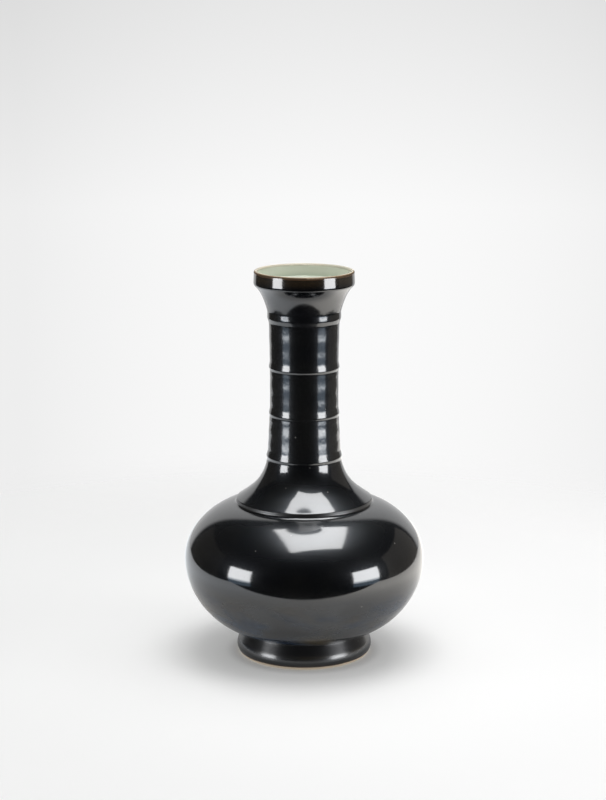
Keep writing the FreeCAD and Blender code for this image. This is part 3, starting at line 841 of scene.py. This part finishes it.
# %% [markdown]
# ## Flat lamps
# The vase is lit by large soft panels, as in a photo studio. A glowing sheet could be each of them, but a
# lamp can be hidden from the mirror or from the matt pieces, and Blender samples it with less noise. Power
# alone says little about how bright a panel looks, so the helper takes the radiance and works the power out.


# %% A flat lamp
def lamp(name, spot, aim, wide, tall, radiance, tint=(1.0, 1.0, 1.0), glossy=True, diffuse=True):
    """A flat lamp of a given radiance; a flat lamp's power is its radiance times its area times pi."""
    data = bpy.data.lights.new(name, "AREA")
    data.shape = "RECTANGLE"
    data.size = wide
    data.size_y = tall
    data.energy = radiance * wide * tall * math.pi
    data.color = tint
    made = bpy.data.objects.new(name, data)
    bpy.context.scene.collection.objects.link(made)
    made.location = spot
    made.rotation_euler = (Vector(aim) - Vector(spot)).to_track_quat("-Z", "Y").to_euler()
    made.visible_camera = False
    made.visible_glossy = glossy
    made.visible_diffuse = diffuse
    print(name, "gives", round(data.energy, 2), "W")


def around(azimuth, distance, height):
    """A point at an azimuth from the camera's side, counted to the right."""
    turn = math.radians(azimuth)
    return (distance * math.sin(turn), -distance * math.cos(turn), height)


print("a metre to the right:", [round(number, 3) for number in around(90, 1, 0)])

# %% [markdown]
# ## Window boxes
# The bright patch on each side of the belly and the long ones on the neck mirror two tall window boxes. Each
# fades downwards in two steps, a pale blue fringe and a bluer skirt, as the photo's patches do. Dim warm
# walls stand farther back. A picture of a room around the vase could give all this, but flat lamps can be
# moved one by one until each patch lies where the photo has it.

# %% Side boxes
SIDE_DISTANCE = 3.0
WHITE = (0.97, 0.98, 1.0)
PALE_BLUE = (0.86, 0.93, 1.0)
SKY_BLUE = (0.55, 0.76, 1.0)
WARM = (1.0, 0.93, 0.84)
SIDE_BOXES = [
    # name, azimuth and spread in degrees, lower and upper edge in metres, radiance, tint
    ("left_box", -62.5, 24.0, -0.09, 0.94, 9.4, WHITE),
    ("left_fringe", -62.5, 24.0, -0.24, -0.09, 4.6, PALE_BLUE),
    ("left_skirt", -62.5, 24.0, -0.60, -0.24, 0.75, SKY_BLUE),
    ("right_box", 59.8, 27.5, -0.09, 0.95, 9.8, WHITE),
    ("right_fringe", 59.8, 27.5, -0.24, -0.09, 4.8, PALE_BLUE),
    ("right_skirt", 59.8, 27.5, -0.60, -0.24, 0.8, SKY_BLUE),
    ("left_wall", -114, 54, -0.5, 1.7, 0.05, WARM),
    ("right_wall", 112, 54, -0.5, 1.7, 0.2, WARM),
]
for name, azimuth, spread, low, high, radiance, tint in SIDE_BOXES:
    wide = 2 * SIDE_DISTANCE * math.tan(math.radians(spread / 2))
    middle = (low + high) / 2
    spot, aim = around(azimuth, SIDE_DISTANCE, middle), (0, 0, middle)
    lamp(name, spot, aim, wide, high - low, radiance, tint, diffuse=False)
print(len(SIDE_BOXES), "side boxes", SIDE_DISTANCE, "m off")

# %% [markdown]
# ## The panel overhead and the soft light
# The slanted bright shape on the collar and the upper belly mirrors a panel over the vase. As a lamp it would
# have square corners, so it is a glowing sheet with four free corners. The light that really falls on the
# clay, the dish and the floor comes from four soft lamps that the glaze doesn't show.

# %% Overhead panel
OVERHEAD_Z = 1.5
OVERHEAD_GLOW = 7.2
OVERHEAD_SHARES = ((-0.25, 0.31), (0.34, 0.47), (0.49, -0.29), (-0.19, -0.50))

overhead = flat("overhead_box", [(x * OVERHEAD_Z, y * OVERHEAD_Z, OVERHEAD_Z) for x, y in OVERHEAD_SHARES])
overhead.data.materials.append(glow("overhead_glow", OVERHEAD_GLOW))
only_mirrored(overhead)
print("overhead panel", OVERHEAD_Z, "m up")

# %% Soft lamps
FLANK_DISTANCE = 2.6
FLANK_HEIGHT = 1.2
FLANK_AIM = (0, 0, 0.1)
SOFT_LAMPS = [
    # name, place, aim, width, length, radiance
    ("overhead_light", (0.17, 0.0, 1.7), (0.17, 0.001, 0), 1.1, 1.2, 3.3),
    ("high_light", (0.0, 0.2, 3.2), (0, 0.2, 0), 3.0, 3.0, 0.62),
    ("left_light", around(-75, FLANK_DISTANCE, FLANK_HEIGHT), FLANK_AIM, 1.2, 1.2, 1.6),
    ("right_light", around(75, FLANK_DISTANCE, FLANK_HEIGHT), FLANK_AIM, 1.2, 1.2, 2.2),
]
for name, spot, aim, wide, tall, radiance in SOFT_LAMPS:
    lamp(name, spot, aim, wide, tall, radiance, glossy=False)
print(len(SOFT_LAMPS), "soft lamps")

# %% [markdown]
# ## The air of the room
# The camera sees a plain white background that falls off softly to the sides and upwards, and so would clear
# glass. The glaze sees a nearly black room instead, as in the photo, and the matt pieces get a dim even
# light. A white wall and a black one would need hiding from each other. One world can be all three, because
# Light Path tells which kind of ray is asking.

# %% World
BRIGHTEST = 0.955
UP_FALL = 0.165
UP_SPAN = (-0.115, 0.0)
BRIGHTEST_X = 0.02
SIDE_FALL = 4.15
SIDE_FALL_ENDS = 0.025
EVEN_LIGHT = (0.42, 0.42, 0.42)
DARK_ROOM = (0.012, 0.012, 0.013)

world = bpy.data.worlds.new("studio_air")
bpy.context.scene.world = world
world.use_nodes = True
f = Finish(world.node_tree)
seen = f.add("LightPath", output="Is Camera Ray") + f.add("LightPath", output="Is Transmission Ray")
mirrored = f.add("LightPath", output="Is Glossy Ray")
direction = f.add("TexCoord", output="Generated")
up = f.part_of(direction, "Z")
across = f.part_of(direction, "X") - BRIGHTEST_X
spread = f.add("Math", {"operation": "MINIMUM"}, {0: across * across, 1: SIDE_FALL_ENDS})
level = (BRIGHTEST - UP_FALL * f.ramp(up, *UP_SPAN, smooth=False)) * (1 - SIDE_FALL * spread)
air = f.mixed(mirrored, EVEN_LIGHT, DARK_ROOM)
background = f.add("Background", {}, {"Color": f.mixed(seen, air, f.grey(level)), "Strength": 1.0})
f.add("OutputWorld", {}, {"Surface": background})
print(world.name, "is brightest at", BRIGHTEST)

# %% [markdown]
# ## The camera
# The camera stands two metres away, above the mouth, with a long lens, so that the dish shows as a thin
# ellipse. Guessing by eye would take many tries. The photo's ellipses give its place: the flatter an ellipse
# is, the nearer it lies to the height of the lens.

# %% Camera
CAMERA_PLACE = (0, -1.996, 0.6949)
CAMERA_DIP = 12.12
AHEAD = 90
LENS = 90
SENSOR = 36
SIDE_SHIFT = -0.0015

camera_data = bpy.data.cameras.new("camera")
camera_data.lens = LENS
camera_data.sensor_width = SENSOR
camera_data.shift_x = SIDE_SHIFT
camera = bpy.data.objects.new("camera", camera_data)
bpy.context.scene.collection.objects.link(camera)
camera.location = CAMERA_PLACE
camera.rotation_euler = (math.radians(AHEAD - CAMERA_DIP), 0, 0)
bpy.context.scene.camera = camera
bpy.context.scene.view_settings.view_transform = "Standard"
print("camera", CAMERA_PLACE, "looking", CAMERA_DIP, "degrees down")
